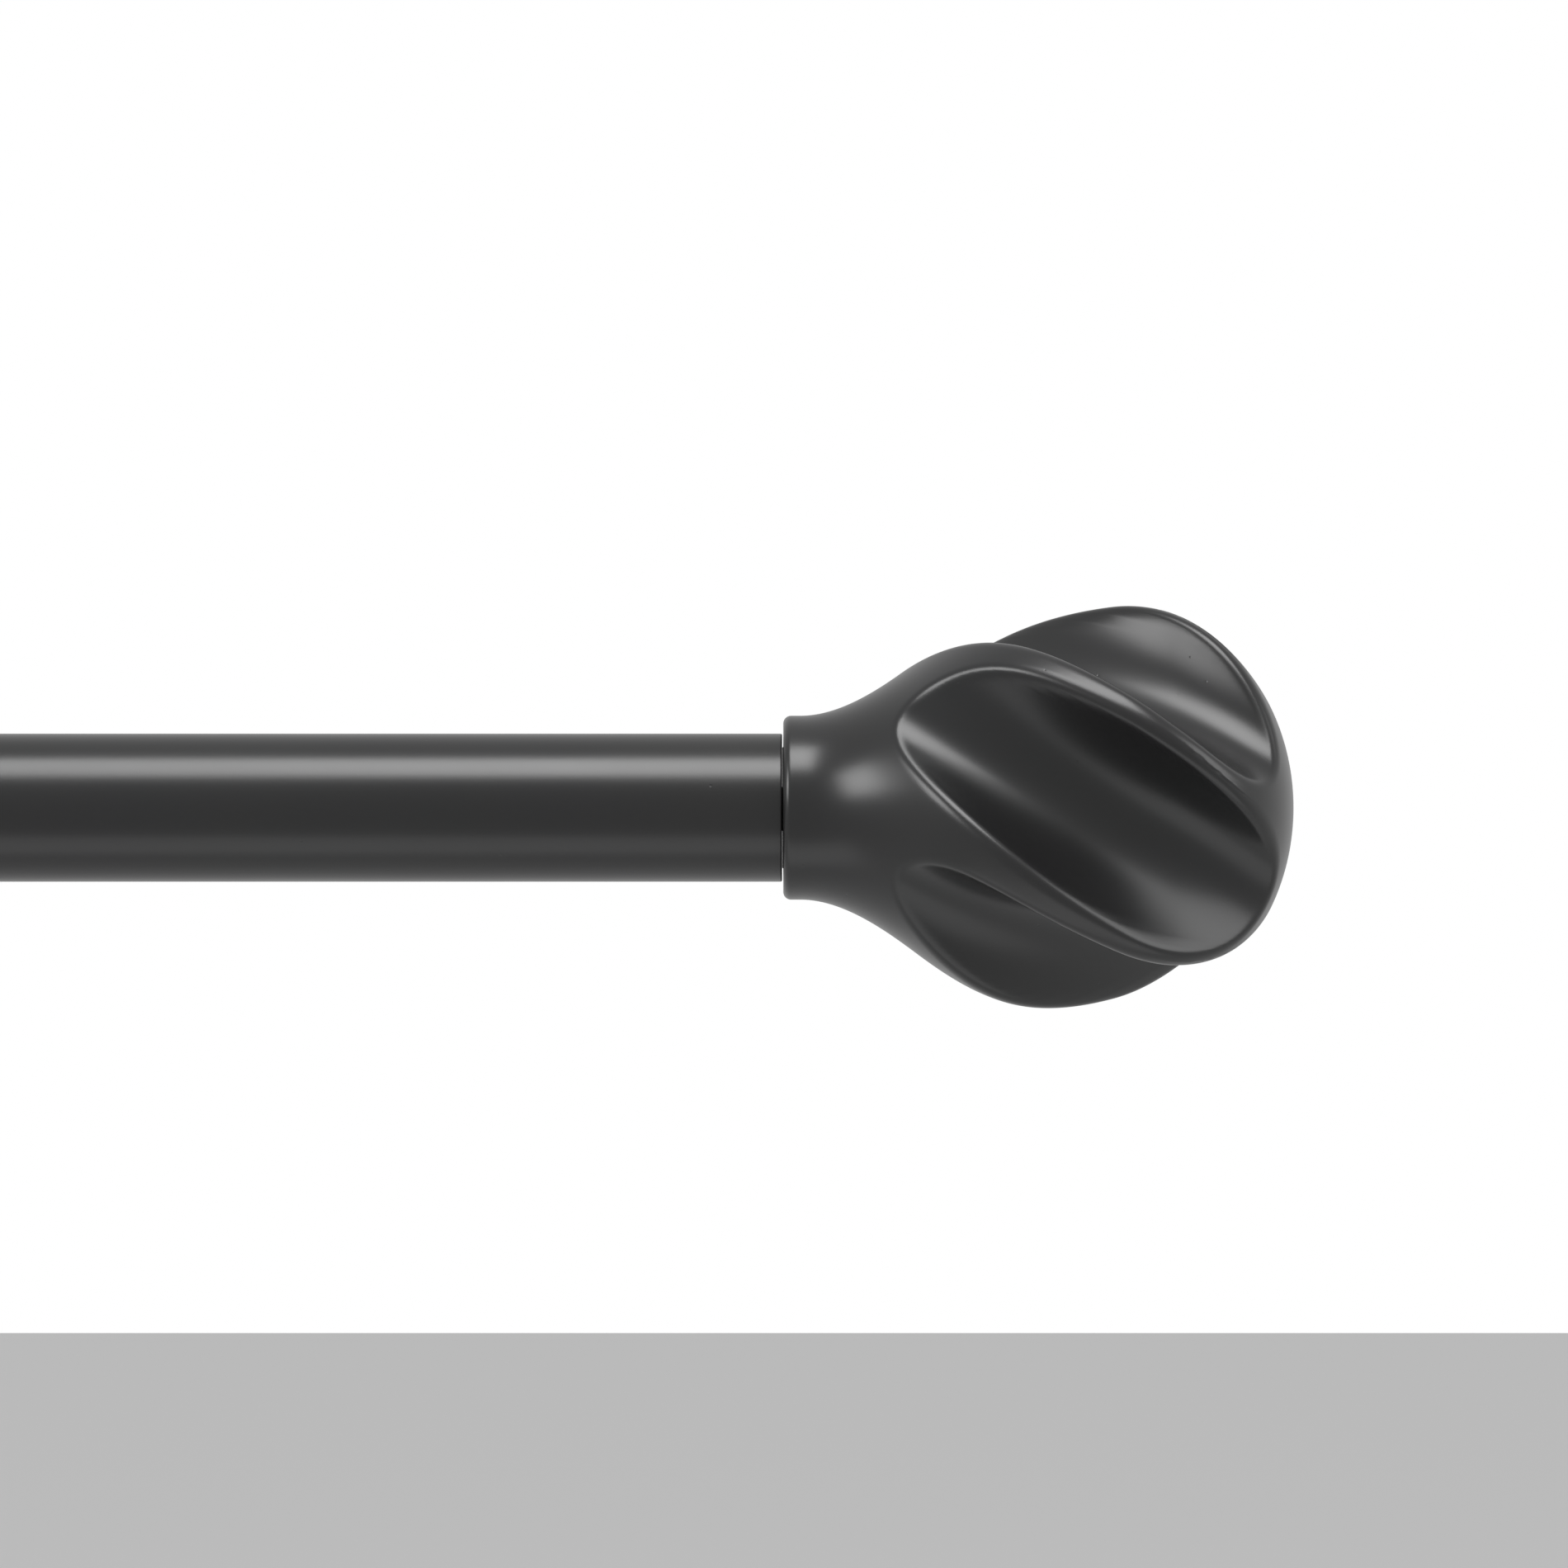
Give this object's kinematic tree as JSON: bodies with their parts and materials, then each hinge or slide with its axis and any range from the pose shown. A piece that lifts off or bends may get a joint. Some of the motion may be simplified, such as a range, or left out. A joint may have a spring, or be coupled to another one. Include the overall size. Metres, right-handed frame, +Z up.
{
  "type": "curtain rod with brackets",
  "caption": "Telescoping metal curtain rod with twisted ball finials, lying in cradles on arms that slide in wall brackets and lock with thumb screws.",
  "frame": {"origin": "middle of the back face of the right wall plate, where it meets the wall", "axes": "+X along the rod towards the right finial, +Y into the wall, +Z up"},
  "size_m": [0.8422, 0.1431, 0.0796],
  "materials": {
    "graphite_steel": "satin graphite powder coat on steel",
    "graphite_casting": "satin graphite powder coat on a zinc casting",
    "graphite_resin": "satin graphite coat on cast resin",
    "black_nylon": "moulded black nylon",
    "natural_nylon": "moulded natural nylon",
    "zinc_plate": "bright zinc plate",
    "anchor_plastic": "moulded grey plastic"
  },
  "bodies": {
    "right_mount": {"right_wall_plate": "graphite_steel", "right_arm_sleeve": "graphite_steel", "right_upper_wall_screw": "zinc_plate", "right_lower_wall_screw": "zinc_plate", "right_upper_wall_anchor": "anchor_plastic", "right_lower_wall_anchor": "anchor_plastic"},
    "right_arm_set": {"right_arm": "graphite_steel", "right_cradle": "graphite_casting", "right_cradle_screw": "zinc_plate"},
    "outer_rod": {"outer_tube": "graphite_steel", "mouth_bushing": "black_nylon", "right_end_plug": "zinc_plate"},
    "inner_rod": {"inner_tube": "graphite_steel", "tail_glide": "natural_nylon", "left_end_plug": "zinc_plate"},
    "left_arm_set": {"left_arm": "graphite_steel", "left_cradle": "graphite_casting", "left_cradle_screw": "zinc_plate"},
    "left_mount": {"left_wall_plate": "graphite_steel", "left_arm_sleeve": "graphite_steel", "left_upper_wall_screw": "zinc_plate", "left_lower_wall_screw": "zinc_plate", "left_upper_wall_anchor": "anchor_plastic", "left_lower_wall_anchor": "anchor_plastic"},
    "right_clamp_foot": {"right_clamp_tip": "natural_nylon"},
    "right_clamp_knob": {"right_clamp_screw": "graphite_steel"},
    "left_clamp_foot": {"left_clamp_tip": "natural_nylon"},
    "left_clamp_knob": {"left_clamp_screw": "graphite_steel"},
    "right_lock_foot": {"right_lock_tip": "natural_nylon"},
    "right_lock_knob": {"right_lock_screw": "graphite_steel"},
    "left_lock_foot": {"left_lock_tip": "natural_nylon"},
    "left_lock_knob": {"left_lock_screw": "graphite_steel"},
    "right_finial_seat": {"right_finial_washer": "black_nylon"},
    "right_finial_end": {"right_finial": "graphite_resin", "right_finial_stud": "zinc_plate"},
    "left_finial_seat": {"left_finial_washer": "black_nylon"},
    "left_finial_end": {"left_finial": "graphite_resin", "left_finial_stud": "zinc_plate"}
  },
  "joints": [
    {"name": "right_projection", "type": "slide", "parent": "right_mount", "child": "right_arm_set", "axis": [0, -1, 0], "range_m": [0, 0.032]},
    {"name": "rod_shift", "type": "slide", "parent": "right_arm_set", "child": "outer_rod", "axis": [1, 0, 0], "range_m": [-0.02, 0.07]},
    {"name": "telescope", "type": "slide", "parent": "outer_rod", "child": "inner_rod", "axis": [-1, 0, 0], "range_m": [0, 0.508]},
    {"name": "left_bracket_shift", "type": "slide", "parent": "inner_rod", "child": "left_arm_set", "axis": [1, 0, 0], "range_m": [-0.07, 0.02]},
    {"name": "left_projection", "type": "slide", "parent": "left_arm_set", "child": "left_mount", "axis": [0, 1, 0], "range_m": [0, 0.032]},
    {"name": "right_clamp_travel", "type": "slide", "parent": "right_arm_set", "child": "right_clamp_foot", "axis": [0, -1, 0], "range_m": [0, 0.004]},
    {"name": "right_clamp_turn", "type": "hinge", "parent": "right_clamp_foot", "child": "right_clamp_knob", "pos_m": [0, -0.09857, -0.0017], "axis": [0, -1, 0], "range_deg": [0, 1800]},
    {"name": "left_clamp_travel", "type": "slide", "parent": "left_arm_set", "child": "left_clamp_foot", "axis": [0, -1, 0], "range_m": [0, 0.004]},
    {"name": "left_clamp_turn", "type": "hinge", "parent": "left_clamp_foot", "child": "left_clamp_knob", "pos_m": [-0.501, -0.09699, -0.00011], "axis": [0, -1, 0], "range_deg": [0, 1800]},
    {"name": "right_lock_travel", "type": "slide", "parent": "right_mount", "child": "right_lock_foot", "axis": [0, 0, -1], "range_m": [0, 0.0024]},
    {"name": "right_lock_turn", "type": "hinge", "parent": "right_lock_foot", "child": "right_lock_knob", "pos_m": [0, -0.04002, -0.0048], "axis": [0, 0, -1], "range_deg": [0, 1080]},
    {"name": "left_lock_travel", "type": "slide", "parent": "left_mount", "child": "left_lock_foot", "axis": [0, 0, -1], "range_m": [0, 0.0024]},
    {"name": "left_lock_turn", "type": "hinge", "parent": "left_lock_foot", "child": "left_lock_knob", "pos_m": [-0.501, -0.04002, -0.00321], "axis": [0, 0, -1], "range_deg": [0, 1080]},
    {"name": "right_finial_travel", "type": "slide", "parent": "outer_rod", "child": "right_finial_seat", "axis": [1, 0, 0], "range_m": [0, 0.012]},
    {"name": "right_finial_turn", "type": "hinge", "parent": "right_finial_seat", "child": "right_finial_end", "pos_m": [0.13, -0.089, -0.00093], "axis": [1, 0, 0], "range_deg": [0, 4320]},
    {"name": "left_finial_travel", "type": "slide", "parent": "inner_rod", "child": "left_finial_seat", "axis": [-1, 0, 0], "range_m": [0, 0.012]},
    {"name": "left_finial_turn", "type": "hinge", "parent": "left_finial_seat", "child": "left_finial_end", "pos_m": [-0.581, -0.089, -0.00093], "axis": [-1, 0, 0], "range_deg": [0, 4320]}
  ],
  "couplings": [
    {"joint": "left_bracket_shift", "follows": "rod_shift", "ratio": -1},
    {"joint": "left_projection", "follows": "right_projection", "ratio": 1},
    {"joint": "right_clamp_travel", "follows": "right_clamp_turn", "m_per_rad": 0.00012732},
    {"joint": "left_clamp_travel", "follows": "left_clamp_turn", "m_per_rad": 0.00012732},
    {"joint": "right_lock_travel", "follows": "right_lock_turn", "m_per_rad": 0.00012732},
    {"joint": "left_lock_travel", "follows": "left_lock_turn", "m_per_rad": 0.00012732},
    {"joint": "right_finial_travel", "follows": "right_finial_turn", "m_per_rad": 0.00015915},
    {"joint": "left_finial_travel", "follows": "left_finial_turn", "m_per_rad": 0.00015915}
  ]
}
